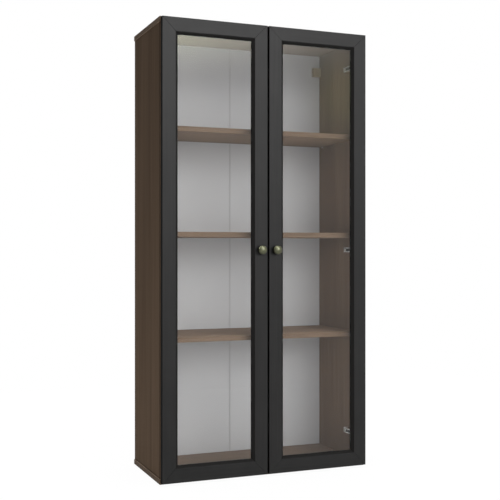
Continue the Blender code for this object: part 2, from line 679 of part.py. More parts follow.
def make_hinges(word, side, nickel, door_pivot, link_pivot):
    """Three hinges: the arm stays on the side, the link turns on it, the cup is in the door."""
    arm_mesh = make_arm_mesh(side)
    link_mesh = make_link_mesh(side)
    cup_mesh = make_cup_mesh(side)
    for level, z in HINGE_HEIGHTS.items():
        tail = word + "_" + level
        on_arm = plan(side, *ARM_PIVOT, z)
        on_door = plan(side, *DOOR_PIVOT, z)
        add_object("hinge_arm_" + tail, arm_mesh, nickel, on_arm)
        add_object("hinge_link_" + tail, link_mesh, nickel, on_arm, link_pivot)
        add_object("hinge_cup_" + tail, cup_mesh, nickel, on_door, door_pivot)


def make_door(word, side, paints):
    """One door and its hinges, on empties that stand on the two joint axes."""
    link_pivot = make_pivot("links_" + word, plan(side, *ARM_PIVOT, MID_Z))
    door_pivot = make_pivot("door_" + word, plan(side, *DOOR_PIVOT, MID_Z))
    make_frame(word, side, paints["charcoal"], door_pivot)
    make_pane(word, side, paints["glass"], door_pivot)
    make_bead(word, side, paints["black"], door_pivot)
    make_knob(word, side, paints["brass"], door_pivot)
    make_bumpers(word, side, paints["clear"], door_pivot)
    make_hinges(word, side, paints["nickel"], door_pivot, link_pivot)
    print(word, "link axis", tuple(round(v, 5) for v in link_pivot.location),
          "door axis", tuple(round(v, 5) for v in door_pivot.location))


def make_cabinet():
    """The whole cabinet."""
    clear_scene()
    paints = {
        "walnut": make_material("walnut_board", (0.060, 0.040, 0.028), 0.55),
        "shelf": make_material("walnut_shelf", (0.190, 0.135, 0.095), 0.55),
        "sheet": make_material("pale_back", (0.560, 0.560, 0.570), 0.70),
        "plastic": make_material("grey_plastic", (0.420, 0.420, 0.420), 0.50),
        "charcoal": make_material("charcoal_frame", (0.055, 0.055, 0.057), 0.45),
        "black": make_material("black_bead", (0.010, 0.010, 0.010), 0.40),
        "glass": make_material("clear_glass", (0.900, 0.950, 0.940), 0.02, 0.0, 0.25),
        "brass": make_material("antique_brass", (0.230, 0.200, 0.090), 0.35, 1.0),
        "nickel": make_material("nickel_steel", (0.620, 0.610, 0.590), 0.28, 1.0),
        "clear": make_material("soft_bumper", (0.700, 0.700, 0.680), 0.40),
    }
    make_panels(paints["walnut"])
    make_sides(paints["walnut"])
    make_back(paints["sheet"], paints["plastic"])
    make_glides(paints["plastic"])
    make_shelves(paints["shelf"])
    make_pins(paints["nickel"])
    make_blocks(paints["walnut"])
    for word, side in SIDES.items():
        make_door(word, side, paints)


make_cabinet()
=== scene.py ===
# China cabinet: finishes, turned and pressed fittings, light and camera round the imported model.
# Metres, +Z up, the doors face -Y. Side -1 is the left as seen from the front.

import json
from math import radians

import bmesh
import bpy
import numpy as np
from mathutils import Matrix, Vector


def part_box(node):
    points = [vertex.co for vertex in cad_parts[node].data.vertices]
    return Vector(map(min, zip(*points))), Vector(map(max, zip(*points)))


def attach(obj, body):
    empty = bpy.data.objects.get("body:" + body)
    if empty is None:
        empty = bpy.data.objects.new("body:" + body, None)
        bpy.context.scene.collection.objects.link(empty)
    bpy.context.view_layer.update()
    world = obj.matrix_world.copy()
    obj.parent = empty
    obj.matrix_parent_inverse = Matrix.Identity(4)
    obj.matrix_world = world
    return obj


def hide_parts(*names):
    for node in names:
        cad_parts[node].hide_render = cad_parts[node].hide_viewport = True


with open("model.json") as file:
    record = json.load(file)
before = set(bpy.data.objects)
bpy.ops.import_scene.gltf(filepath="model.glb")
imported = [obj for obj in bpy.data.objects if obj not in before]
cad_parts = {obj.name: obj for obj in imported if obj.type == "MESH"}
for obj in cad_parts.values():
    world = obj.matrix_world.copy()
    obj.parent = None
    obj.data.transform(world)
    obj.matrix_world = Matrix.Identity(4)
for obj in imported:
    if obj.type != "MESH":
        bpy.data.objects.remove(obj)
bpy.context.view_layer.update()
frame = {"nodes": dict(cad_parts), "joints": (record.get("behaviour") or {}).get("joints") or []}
nodes = frame["nodes"]
joints = {joint["name"]: joint for joint in frame["joints"]}
sides = {"left": -1, "right": 1}
levels = ("top", "middle", "bottom")
print("frame loaded,", len(nodes), "nodes")


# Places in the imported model

def middleOf(node):
    low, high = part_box(node)
    return (low + high) / 2


def innerX(node):
    # the X of the face that looks to the middle of the cabinet
    return min((corner.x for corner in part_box(node)), key=abs)


panelFront, panelRear = (corner.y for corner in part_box("top_panel"))
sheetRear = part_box("back_panel_left")[1].y
doorFace, doorBack = (corner.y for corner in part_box("door_left_rail_top"))
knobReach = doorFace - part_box("door_left_knob")[0].y


# Shapes as arrays

def gridFaces(rows, columns, wrapRows=False):
    # quad (i, j) joins point (i, j) to the next column and the next row; columns always wrap round
    i, j = np.meshgrid(np.arange(rows if wrapRows else rows - 1), np.arange(columns), indexing="ij")
    i, j = i.ravel(), j.ravel()
    nextI, nextJ = (i + 1) % rows, (j + 1) % columns
    corners = [i * columns + j, i * columns + nextJ, nextI * columns + nextJ, nextI * columns + j]
    return np.column_stack(corners)


def facingOut(points, quads, fans):
    # the sum of a . (b x c) over the triangles is six times the volume; below zero, every face turns round
    triangles = np.vstack([quads[:, [0, 1, 2]], quads[:, [0, 2, 3]], fans])
    a, b, c = (points[triangles[:, k]] for k in range(3))
    if np.einsum("ij,ij->", a, np.cross(b, c)) < 0:
        quads, fans = quads[:, ::-1], fans[:, ::-1]
    return points, quads, fans


def closedAtPoles(grid):
    # the first and last rows of the grid shrink to one point each, joined to their neighbours by fans
    rows, columns = grid.shape[0] - 2, grid.shape[1]
    points = np.vstack([grid[1:-1].reshape(-1, 3), grid[0].mean(0), grid[-1].mean(0)])
    j = np.arange(columns)
    nextJ = (j + 1) % columns
    last = (rows - 1) * columns
    pole = np.full(columns, rows * columns)
    fans = np.vstack([np.column_stack([nextJ, j, pole]), np.column_stack([last + j, last + nextJ, pole + 1])])
    return facingOut(points, gridFaces(rows, columns), fans)


def squareTo(axis):
    # an axis that lies along X, Y or Z, and two directions square to it
    axis = np.array(axis, float)
    across = np.roll(axis, 1)
    return axis, across, np.cross(axis, across)


def turned(profile, centre, axis, steps):
    # centre + radius * (cos a * across + sin a * up) + height * axis, for each (radius, height) and angle a
    axis, across, up = squareTo(axis)
    radius, height = np.asarray(profile, float).T[:, :, None, None]
    a = np.linspace(0, 2 * np.pi, steps, endpoint=False)[None, :, None]
    return closedAtPoles(np.array(centre) + radius * (np.cos(a) * across + np.sin(a) * up) + height * axis)


def circle(steps):
    # (cos a, sin a), a once round
    a = np.linspace(0, 2 * np.pi, steps, endpoint=False)
    return np.column_stack([np.cos(a), np.sin(a)])


def arc(r, h, size, start, end, count=7):
    # (r + size * cos a, h + size * sin a), a from start to end in degrees
    a = np.radians(np.linspace(start, end, count))
    return np.column_stack([r + size * np.cos(a), h + size * np.sin(a)])


def repeated(part, offsets):
    # the same part at each offset, as one set of arrays
    points, quads, fans = part
    count = len(offsets)
    shift = (np.arange(count) * len(points))[:, None, None]
    spread = (points[None] + np.array(offsets, float)[:, None]).reshape(-1, 3)
    return spread, (quads[None] + shift).reshape(-1, 4), (fans[None] + shift).reshape(-1, 3)


def joined(parts):
    # several parts as one set of arrays, each one's faces counted on from the points before it
    starts = np.cumsum([0] + [len(points) for points, _, _ in parts[:-1]])
    quads = np.vstack([part[1] + start for part, start in zip(parts, starts)])
    fans = np.vstack([part[2] + start for part, start in zip(parts, starts)])
    return np.vstack([part[0] for part in parts]), quads, fans


def addPiece(name, parts, material, body, replaces=(), sharp=40):
    # edges sharper than so many degrees stay crisp
    points, quads, fans = joined(parts)
    mesh = bpy.data.meshes.new(name)
    mesh.from_pydata(points.tolist(), [], quads.tolist() + fans.tolist())
    mesh.shade_smooth()
    mesh.set_sharp_from_angle(angle=radians(sharp))
    mesh.materials.append(material)
    piece = bpy.data.objects.new(name, mesh)
    bpy.context.scene.collection.objects.link(piece)
    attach(piece, body)
    if replaces:
        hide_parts(*replaces)


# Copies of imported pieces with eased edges; angles in degrees
easing = {
    "merge": 0.000002,
    "flat": 1.0,                                       # faces this close in angle become one
    "sharp": 35,
    "segments": 2,
    "sideways": 0.8,                                   # least X in the normal of a face that looks to a side
}


def easedCopy(nodeName, name, material, body, width, edgeMaterial=None):
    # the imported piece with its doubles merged, its flat faces whole again and its sharp edges rounded;
    # faces that look to either side take the edge material
    sharp = radians(easing["sharp"])
    mesh = nodes[nodeName].data.copy()
    shape = bmesh.new()
    shape.from_mesh(mesh)
    bmesh.ops.remove_doubles(shape, verts=shape.verts, dist=easing["merge"])
    bmesh.ops.dissolve_limit(shape, angle_limit=radians(easing["flat"]), verts=shape.verts,
                             edges=shape.edges)
    shape.to_mesh(mesh)
    shape.free()
    mesh.shade_smooth()
    mesh.set_sharp_from_angle(angle=sharp)
    mesh.materials.clear()
    mesh.materials.append(material)
    if edgeMaterial:
        normals = np.empty(len(mesh.polygons) * 3)
        mesh.polygons.foreach_get("normal", normals)
        mesh.materials.append(edgeMaterial)
        isSideways = np.abs(normals[::3]) > easing["sideways"]
        mesh.polygons.foreach_set("material_index", isSideways.astype(int))
    copy = bpy.data.objects.new(name, mesh)
    bpy.context.scene.collection.objects.link(copy)
    ease = copy.modifiers.new("ease", "BEVEL")
    ease.width = width
    ease.segments = easing["segments"]
    ease.limit_method = "ANGLE"
    ease.angle_limit = sharp
    flat = copy.modifiers.new("flat", "WEIGHTED_NORMAL")      # so that the wide faces shade flat
    flat.keep_sharp = True
    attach(copy, body)
    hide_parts(nodeName)


# Shader helpers

noiseSpan = (0.3, 0.7)                                 # where nearly all of a noise's values lie
toneSpan = (0.35, 0.65)                                # the part of it that takes a colour from dark to light
white = (1.0, 1.0, 1.0)


def put(tree, kind, settings=None, **values):
    # adds a node; an underscore in a socket's name stands for a space, and a socket as value is linked
    node = tree.nodes.new("ShaderNode" + kind)
    for key, value in (settings or {}).items():
        setattr(node, key, value)
    for key, value in values.items():
        feed(tree, node.inputs[key.replace("_", " ")], value)
    return node


def feed(tree, socket, value):
    # links a socket as value, and sets a number or a colour
    if isinstance(value, bpy.types.NodeSocket):
        tree.links.new(value, socket)
    elif isinstance(value, tuple) and len(value) == 3 and socket.type == "RGBA":
        socket.default_value = (*value, 1.0)
    else:
        socket.default_value = value


def calc(tree, operation, a, b=0.0, clamp=False):
    # one step of arithmetic on sockets or numbers
    node = tree.nodes.new("ShaderNodeMath")
    node.operation = operation
    node.use_clamp = clamp
    feed(tree, node.inputs[0], a)
    feed(tree, node.inputs[1], b)
    return node.outputs[0]


def mixed(tree, share, a, b):
    # the number a where the share is 0, b where it is 1
    return put(tree, "Mix", Factor=share, A=a, B=b).outputs[0]


def blendColours(tree, share, a, b):
    # the colour a where the share is 0, b where it is 1
    node = tree.nodes.new("ShaderNodeMix")
    node.data_type = "RGBA"
    feed(tree, node.inputs[0], share)
    feed(tree, node.inputs[6], a)
    feed(tree, node.inputs[7], b)
    return node.outputs[2]


def between(tree, value, low, high, toLow=0.0, toHigh=1.0):
    # toLow where the value is low, toHigh where it is high, straight in between and level beyond
    return put(tree, "MapRange", Value=value, From_Min=low, From_Max=high, To_Min=toLow,
               To_Max=toHigh).outputs[0]


def anyOf(tree, first, *others):
    # 1 where one or more of the switches are 1
    for other in others:
        first = calc(tree, "MAXIMUM", first, other)
    return first


def objectPlace(tree, scale=(1.0, 1.0, 1.0)):
    # the point on the piece, in metres times the scale
    where = put(tree, "TexCoord").outputs["Object"]
    return put(tree, "Mapping", Vector=where, Scale=scale).outputs[0]


def axisValue(tree, axis):
    # the point's X, Y or Z in metres
    where = put(tree, "TexCoord").outputs["Object"]
    return put(tree, "SeparateXYZ", Vector=where).outputs["XYZ".index(axis)]


def stretched(tree, grain, counts):
    # coordinates that run fast across the grain and slowly along it
    scale = [counts[0]] * 3
    scale["XYZ".index(grain)] = counts[1]
    return objectPlace(tree, tuple(scale))


def noise(tree, place, scale=1.0, detail=2.0, roughness=0.5, distortion=0.0):
    return put(tree, "TexNoise", Vector=place, Scale=scale, Detail=detail, Roughness=roughness,
               Distortion=distortion).outputs[0]


def startMaterial(name, **values):
    # a material of one shader, with the values on its sockets
    material = bpy.data.materials.new(name)
    material.use_nodes = True
    tree = material.node_tree
    tree.nodes.clear()
    shader = put(tree, "BsdfPrincipled", **values)
    tree.links.new(shader.outputs[0], put(tree, "OutputMaterial").inputs["Surface"])
    return material, tree, shader


def mixShaders(tree, shader, other, share):
    # the other shader takes over from the first where the share is 1
    surface = shader.outputs[0].links[0].to_socket
    mix = put(tree, "MixShader")
    feed(tree, mix.inputs[0], share)
    tree.links.new(shader.outputs[0], mix.inputs[1])
    tree.links.new(other.outputs[0], mix.inputs[2])
    tree.links.new(mix.outputs[0], surface)


def applyFinish(tree, shader, look, colour, grain, height):
    # the colour; the look's roughness, from its first to its second value as the grain rises; and relief
    # of the look's strength and depth
    strength, depth = look["relief"]
    relief = put(tree, "Bump", Height=height, Strength=strength, Distance=depth)
    feed(tree, shader.inputs["Base Color"], colour)
    feed(tree, shader.inputs["Roughness"], between(tree, grain, *noiseSpan, *look["roughness"]))
    tree.links.new(relief.outputs[0], shader.inputs["Normal"])


# Walnut-faced board: tones, and how fine the grain is, per metre across it and along it
walnut = {
    "light": (0.113, 0.0780, 0.0528),
    "dark": (0.0735, 0.0488, 0.0320),
    "pore": (0.043, 0.0275, 0.0175),
    "figure": (11.0, 0.7),
    "streaks": (150.0, 1.8),
    "pores": (1100.0, 26.0),
    "streakShare": 0.55,                               # of the streaks in the tone; the rest is figure
    "toneSpan": (0.36, 0.64),
    "poreSpan": (0.62, 0.74),                          # noise from which a pore sets in, and where it is full
    "poreDepth": 0.35,
    "roughness": (0.52, 0.68),
    "relief": (0.5, 0.00010),
    "paintedShadeAtSeam": {"foot": (0.0085, 0.42), "front": (0.0150, 0.26)},    # painted shade that fades out from an edge: its width, and its tone
}
boards = {                                             # inner: how much lighter the inner faces are painted, as painted light inside the cabinet
    "panel": {"grain": "X", "tone": 1.0, "specular": 0.03, "inner": 2.3, "innerSpecular": 0.21},
    "side": {"grain": "Z", "tone": 1.0, "specular": 0.004, "inner": 2.2},
    "shelf": {"grain": "X", "tone": 1.31, "specular": 0.02, "inner": 1.97, "innerSpecular": 0.045},
    # the block's tone is painted light and painted reflection: far lighter and greyer, standing in for light
    # and glass haze on it
    "block": {"grain": "X", "tone": (3.9, 4.6, 4.5), "specular": 0.15},
}
chipboard = {                                          # bare at the rear edges of the top and bottom panels
    "light": (0.34, 0.24, 0.14),
    "dark": (0.17, 0.11, 0.06),
    "chips": 420.0,
    "stretch": (0.35, 1.0, 1.0),
    "grit": 900.0,
    "contrast": 0.6,
    "gritRelief": 3.0,
}


def bareChipboard(tree):
    # light at the chips' middles and dark between them, with grit all over, which its relief follows too
    chips = put(tree, "TexVoronoi", Vector=objectPlace(tree, chipboard["stretch"]), Scale=chipboard["chips"])
    grit = noise(tree, objectPlace(tree), chipboard["grit"], detail=3.0)
    depth = calc(tree, "MULTIPLY", calc(tree, "ADD", chips.outputs["Distance"], grit), chipboard["contrast"])
    return blendColours(tree, depth, chipboard["light"], chipboard["dark"]), grit


def paintedSeamShade(tree, shadedSeams):
    # the product of each seam's painted shade, which fades out over its width; shadedSeams: axis and place of
    # each edge
    shade = 1.0
    for edge, (axis, start) in shadedSeams.items():
        width, tone = walnut["paintedShadeAtSeam"][edge]
        dark = between(tree, axisValue(tree, axis), start, start + width, tone, 1.0)
        shade = calc(tree, "MULTIPLY", dark, shade)
    return shade


def walnutMaterial(kind, inside=None, rawFrom=None, shadedSeams=None, outer=0.0):
    # inside: the axis and the two places between which a face is an inner one; rawFrom: bare chipboard
    # behind this Y; shadedSeams: the edges along which painted shade darkens the face further out than outer
    look = boards[kind]
    material, tree, shader = startMaterial(kind + "Walnut", Specular_IOR_Level=look["specular"])
    figure = noise(tree, stretched(tree, look["grain"], walnut["figure"]), detail=3.0, distortion=0.8)
    streaks = noise(tree, stretched(tree, look["grain"], walnut["streaks"]), detail=4.0, roughness=0.6)
    pores = noise(tree, stretched(tree, look["grain"], walnut["pores"]))
    depth = between(tree, mixed(tree, walnut["streakShare"], figure, streaks), *walnut["toneSpan"])
    poreMask = between(tree, pores, *walnut["poreSpan"], 0.0, walnut["poreDepth"])
    light, dark, pore = (tuple(np.multiply(look["tone"], walnut[key])) for key in ("light", "dark", "pore"))
    colour = blendColours(tree, poreMask, blendColours(tree, depth, dark, light), pore)
    height = calc(tree, "SUBTRACT", streaks, poreMask)
    if inside:
        axis, low, high = inside
        place = axisValue(tree, axis)
        isInner = calc(tree, "MULTIPLY", calc(tree, "GREATER_THAN", place, low),
                       calc(tree, "LESS_THAN", place, high))
        # inner faces painted lighter: painted light inside the cabinet
        tone = mixed(tree, isInner, 1.0, look["inner"])
        if shadedSeams:
            # painted shade along the seams, on the outer faces only
            isOuter = calc(tree, "GREATER_THAN", calc(tree, "ABSOLUTE", place), outer)
            tone = calc(tree, "MULTIPLY", tone, mixed(tree, isOuter, 1.0, paintedSeamShade(tree, shadedSeams)))
        if "innerSpecular" in look:
            specular = mixed(tree, isInner, look["specular"], look["innerSpecular"])
            feed(tree, shader.inputs["Specular IOR Level"], specular)
        colour = put(tree, "VectorMath", {"operation": "SCALE"}, Vector=colour, Scale=tone).outputs[0]
    if rawFrom is not None:
        raw, grit = bareChipboard(tree)
        isRaw = calc(tree, "GREATER_THAN", axisValue(tree, "Y"), rawFrom)
        rise = calc(tree, "MULTIPLY", grit, chipboard["gritRelief"])
        colour = blendColours(tree, isRaw, colour, raw)
        height = calc(tree, "ADD", height, calc(tree, "MULTIPLY", isRaw, rise))
    applyFinish(tree, shader, walnut, colour, streaks, height)
    return material


# Charcoal foil on the door frames
charcoal = {
    "light": (0.0125, 0.0121, 0.0119),
    "dark": (0.0078, 0.0077, 0.0076),
    "streaks": (230.0, 3.0),
    "pores": (1500.0, 60.0),
    "cloud": 9.0,
    "cloudShare": 0.4,                                 # of the cloud in the tone; the rest is streaks
    "roughness": (0.32, 0.40),
    "specular": 0.148,
    "relief": (0.5, 0.00008),
}
paintedEdgeShade = {                                          # painted shade: the faces of the door frames that look to either side, near black as if in shadow
    **charcoal,
    "light": (0.0045, 0.0044, 0.0044),
    "dark": (0.0028, 0.0028, 0.0028),
    "roughness": (0.60, 0.75),
    "specular": 0.02,
}


def charcoalMaterial(name, grain, look):
    material, tree, shader = startMaterial(name, Specular_IOR_Level=look["specular"])
    streaks = noise(tree, stretched(tree, grain, look["streaks"]), detail=4.0, roughness=0.6)
    pores = noise(tree, stretched(tree, grain, look["pores"]))
    cloud = noise(tree, objectPlace(tree), look["cloud"])
    depth = between(tree, mixed(tree, look["cloudShare"], streaks, cloud), *toneSpan)
    colour = blendColours(tree, depth, look["dark"], look["light"])
    applyFinish(tree, shader, look, colour, pores, calc(tree, "ADD", pores, streaks))
    return material


# Glazing bead, back joint strip and glides
moulded = {"cloud": 35.0, "grain": 2600.0, "relief": (0.4, 0.00004)}
plastics = {
    "bead": {**moulded, "light": (0.0135, 0.0129, 0.0125), "dark": (0.0108, 0.0104, 0.0100),
             "roughness": (0.36, 0.46), "specular": 0.02},
    "strip": {**moulded, "light": (0.450, 0.452, 0.460), "dark": (0.410, 0.412, 0.420),
              "roughness": (0.45, 0.60), "specular": 0.20},
    "glide": {**moulded, "light": (0.060, 0.060, 0.062), "dark": (0.040, 0.040, 0.041),
              "roughness": (0.45, 0.60), "specular": 0.35},
}


def plasticMaterial(name, kind):
    look = plastics[kind]
    material, tree, shader = startMaterial(name, Specular_IOR_Level=look["specular"])
    cloud = noise(tree, objectPlace(tree), look["cloud"], detail=3.0)
    grain = noise(tree, objectPlace(tree), look["grain"])
    applyFinish(tree, shader, look, blendColours(tree, cloud, look["dark"], look["light"]), grain, grain)
    return material


# Soft clear pads, milky inside
softPad = {"light": (0.72, 0.72, 0.70), "dark": (0.60, 0.60, 0.57), "cloud": 900.0, "roughness": 0.35,
           "clearness": 0.4, "ior": 1.45}


def padMaterial():
    material, tree, shader = startMaterial("softPad", Roughness=softPad["roughness"], IOR=softPad["ior"],
                                           Transmission_Weight=softPad["clearness"])
    cloud = noise(tree, objectPlace(tree), softPad["cloud"])
    feed(tree, shader.inputs["Base Color"], blendColours(tree, cloud, softPad["dark"], softPad["light"]))
    return material


# Back sheets: pale printed face to the front, bare hardboard with a pressed weave to the rear
backSheet = {
    "light": (0.540, 0.543, 0.557),
    "dark": (0.495, 0.498, 0.512),
    "boardLight": (0.230, 0.140, 0.075),
    "boardDark": (0.150, 0.088, 0.046),
    "cloud": 3.0,
    "fibre": (260.0, 260.0, 90.0),
    "fibreShare": 0.2,                                 # of the fibres in the front's tone; the rest is cloud
    "weave": 150.0,
    "weaveShare": 0.3,                                 # of the weave in the rear's tone; the rest is fibres
    "roughness": (0.62, 0.78),
    "specular": 0.2,
    "relief": (0.4, 0.00012),
    "frontRelief": 0.15,                               # how much of the relief the printed face shows
}


def backMaterial(rearFrom):
    material, tree, shader = startMaterial("greyBack", Specular_IOR_Level=backSheet["specular"])
    cloud = noise(tree, objectPlace(tree), backSheet["cloud"], detail=3.0)
    fibre = noise(tree, objectPlace(tree, backSheet["fibre"]), detail=4.0, roughness=0.65)
    depth = between(tree, mixed(tree, backSheet["fibreShare"], cloud, fibre), *toneSpan)
    front = blendColours(tree, depth, backSheet["dark"], backSheet["light"])
    weave = put(tree, "TexWave", {"bands_direction": "DIAGONAL"}, Vector=objectPlace(tree),
                Scale=backSheet["weave"], Distortion=1.5)
    rearDepth = mixed(tree, backSheet["weaveShare"], fibre, weave.outputs["Fac"])
    rear = blendColours(tree, rearDepth, backSheet["boardDark"], backSheet["boardLight"])
    isRear = calc(tree, "GREATER_THAN", axisValue(tree, "Y"), rearFrom)
    height = calc(tree, "MULTIPLY", rearDepth, calc(tree, "ADD", isRear, backSheet["frontRelief"]))
    applyFinish(tree, shader, backSheet, blendColours(tree, isRear, front, rear), fibre, height)
    return material


# Clear float glass; gloss: tone of what it mirrors
glass = {"tint": (0.975, 0.977, 0.974), "ior": 1.45, "gloss": (0.55, 0.55, 0.55)}


def glassMaterial():
    # shadow rays, and rays that leave matt surfaces, pass straight through as if it were a clear film
    material, tree, shader = startMaterial("clearGlass", Base_Color=glass["tint"], Transmission_Weight=1.0,
                                           IOR=glass["ior"], Roughness=0.0, Specular_Tint=glass["gloss"])
    path = put(tree, "LightPath").outputs
    film = put(tree, "BsdfTransparent", Color=glass["tint"])
    mixShaders(tree, shader, film, anyOf(tree, path["Is Shadow Ray"], path["Is Diffuse Ray"]))
    return material


# Metals
brass = {
    "bright": (0.086, 0.090, 0.037),
    "aged": (0.043, 0.046, 0.018),
    # neck: near-black painted shade round the neck and rose, under the knob's head
    "neck": (0.003, 0.0028, 0.002),
    "cloud": 130.0,
    "fleck": 900.0,
    "fleckShare": 0.3,                                 # of the flecks in the tone; the rest is cloud
    "paintedNeckShadeSpan": (0.62, 0.42),                          # shares of the reach where the painted shade begins and is full
    "roughness": (0.36, 0.46),
    "lacquer": (1.0, 0.28),                            # the coat's weight and roughness
    "relief": (0.25, 0.00005),
}
nickel = {
    "bright": (0.860, 0.850, 0.820),
    "dull": (0.740, 0.730, 0.700),
    "cloud": 70.0,
    "brush": (900.0, 900.0, 4000.0),
    "roughness": (0.20, 0.32),
    "relief": (0.3, 0.00003),
    "hollow": (0.060, 0.057, 0.052),                   # painted shade: a dark band along an arm's face, as if a pressed channel there lay in shadow
    "paintedShadeHalf": 0.0052,
    "paintedShadeFromEnd": 0.0095,
}


def brassMaterial():
    # clouds and flecks of two tones, and a near-black painted shade without lacquer in the neck, near the
    # door
    weight, roughness = brass["lacquer"]
    material, tree, shader = startMaterial("antiqueBrass", Metallic=1.0, Coat_Roughness=roughness)
    cloud = noise(tree, objectPlace(tree), brass["cloud"], detail=4.0, roughness=0.6)
    fleck = noise(tree, objectPlace(tree), brass["fleck"], detail=3.0, roughness=0.6)
    tone = mixed(tree, brass["fleckShare"], cloud, fleck)
    colour = blendColours(tree, between(tree, tone, *toneSpan), brass["aged"], brass["bright"])
    begins, full = (doorFace - knobReach * share for share in brass["paintedNeckShadeSpan"])
    inPaintedNeckShade = between(tree, axisValue(tree, "Y"), begins, full)
    feed(tree, shader.inputs["Coat Weight"], mixed(tree, inPaintedNeckShade, weight, 0.0))
    applyFinish(tree, shader, brass, blendColours(tree, inPaintedNeckShade, colour, brass["neck"]), tone, fleck)
    return material


def nickelMaterial(name, paintedShadeMiddles=(), paintedShadeTo=0.0):
    # paintedShadeMiddles: the Z of each arm's middle line, round which a band is painted dark as shade, as
    # far back as paintedShadeTo
    material, tree, shader = startMaterial(name, Metallic=1.0)
    cloud = noise(tree, objectPlace(tree), nickel["cloud"], detail=3.0)
    brush = noise(tree, objectPlace(tree, nickel["brush"]))
    colour = blendColours(tree, cloud, nickel["dull"], nickel["bright"])
    if paintedShadeMiddles:
        z = axisValue(tree, "Z")
        offs = [calc(tree, "ABSOLUTE", calc(tree, "SUBTRACT", z, middle)) for middle in paintedShadeMiddles]
        inBand = anyOf(tree, *(calc(tree, "LESS_THAN", off, nickel["paintedShadeHalf"]) for off in offs))
        inPaintedShade = calc(tree, "MULTIPLY", inBand, calc(tree, "LESS_THAN", axisValue(tree, "Y"), paintedShadeTo))
        colour = blendColours(tree, inPaintedShade, colour, nickel["hollow"])
    applyFinish(tree, shader, nickel, colour, cloud, brush)
    return material


skin = 0.0004                                          # a face's own depth, to tell which face a point is on
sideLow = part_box("side_panel_left")[0]
# faces between these places count as inner ones, and are painted lighter as painted light
acrossInside = ("X", innerX("side_panel_left") - skin, innerX("side_panel_right") + skin)
upInside = ("Z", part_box("bottom_panel")[1].z - skin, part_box("top_panel")[0].z + skin)
behindEdge = ("Y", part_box("shelf_upper")[0].y + skin, panelRear)
armMiddles = [middleOf("hinge_arm_left_" + level).z for level in levels]
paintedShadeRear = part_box("hinge_arm_left_top")[1].y - nickel["paintedShadeFromEnd"]
paints = {
    "panel": walnutMaterial("panel", upInside, rawFrom=panelRear - skin),
    # the side's outer face: painted shade fading out from its foot joint and from its front edge by the door
    "side": walnutMaterial("side", acrossInside, outer=-sideLow.x - skin,
                           shadedSeams={"foot": ("Z", sideLow.z), "front": ("Y", sideLow.y)}),
    "shelf": walnutMaterial("shelf", behindEdge),
    "block": walnutMaterial("block"),
    "stile": charcoalMaterial("charcoalStile", "Z", charcoal),
    "stilePaintedShade": charcoalMaterial("charcoalPaintedShade", "Z", paintedEdgeShade),
    "rail": charcoalMaterial("charcoalRail", "X", charcoal),
    "bead": plasticMaterial("blackBead", "bead"),
    "strip": plasticMaterial("palePlastic", "strip"),
    "glide": plasticMaterial("glidePlastic", "glide"),
    "pad": padMaterial(),
    "back": backMaterial(sheetRear - skin),
    "glass": glassMaterial(),
    "brass": brassMaterial(),
    "nickel": nickelMaterial("nickelSteel"),
    "armPaintedShade": nickelMaterial("nickelArmPaintedShade", armMiddles, paintedShadeRear),
}
print("materials made")


# Finishes of the boards, joint strip and panes, whose shapes stay as packed, by the start of a node's name
finishes = {
    "top_panel": "panel", "bottom_panel": "panel", "side_panel": "side", "back_panel": "back",
    "back_joint": "strip", "shelf_upper": "shelf", "shelf_middle": "shelf", "shelf_lower": "shelf",
    "wall_block": "block", "door_left_pane": "glass", "door_right_pane": "glass",
}
for name, node in nodes.items():
    for start, paint in finishes.items():
        if name.startswith(start):
            node.data.materials.clear()
            node.data.materials.append(paints[paint])

# Members of the door frames, whose eased mitres leave a fine groove
members = {"stile_outer": "stile", "stile_meeting": "stile", "rail_top": "rail", "rail_bottom": "rail"}
memberEase = 0.0004
for word in sides:
    for member, paint in members.items():
        # each member's faces that look to either side take the near-black painted shade
        easedCopy("door_%s_%s" % (word, member), "%s_%s" % (member, word), paints[paint], word + "_door",
                  memberEase, paints["stilePaintedShade"])
print("boards, panes and frames finished")


# Knobs: shares of the knob's radius and reach
knob = {
    "rose": 0.80, "roseHeight": 0.11, "neck": 0.375, "dome": 0.27, "rim": 0.125,
    "flare": 0.55,                                     # height of the flare, as a share of its width
    "footInset": 0.0002, "fillet": 0.0006,             # in metres
    "roseArc": (-60, 90, 9), "flareArc": (0, 90, 14),  # first and last angle and number of points
    "rimArc": (-88, 48, 12), "domeArc": (6, 86, 16), "steps": 72,
}


def knobProfile(radius, reach, seat):
    # rose, a neck that flares in a quarter ellipse, a round rim and an elliptic dome
    edge = knob["rim"] * reach / 2
    rimTop = reach * (1.0 - knob["dome"])
    rimFoot = rimTop - edge * 2
    roseRadius, roseTop = knob["rose"] * radius, knob["roseHeight"] * reach
    roseRound = roseTop / 2
    neck, fillet = knob["neck"] * radius, knob["fillet"]
    hollow = radius - edge - neck
    base = [(0.0, seat), (roseRadius - knob["footInset"], seat)]
    rose = arc(roseRadius - roseRound, seat + roseRound, roseRound, *knob["roseArc"])
    corner = [(neck + fillet, roseTop + seat), (neck, roseTop + seat + fillet)]
    flare = np.radians(np.linspace(*knob["flareArc"]))
    sweep = np.column_stack([neck + hollow * (1 - np.cos(flare)),
                             rimFoot - knob["flare"] * hollow * (1 - np.sin(flare))])
    rim = arc(radius - edge, rimTop - edge, edge, *knob["rimArc"])
    rimRadius, rimHeight = rim[-1]
    dome = np.radians(np.linspace(*knob["domeArc"]))
    cap = np.column_stack([rimRadius * np.cos(dome), rimHeight + (reach - rimHeight) * np.sin(dome)])
    return np.vstack([base, rose, corner, sweep, rim, cap, [(0.0, reach)]])


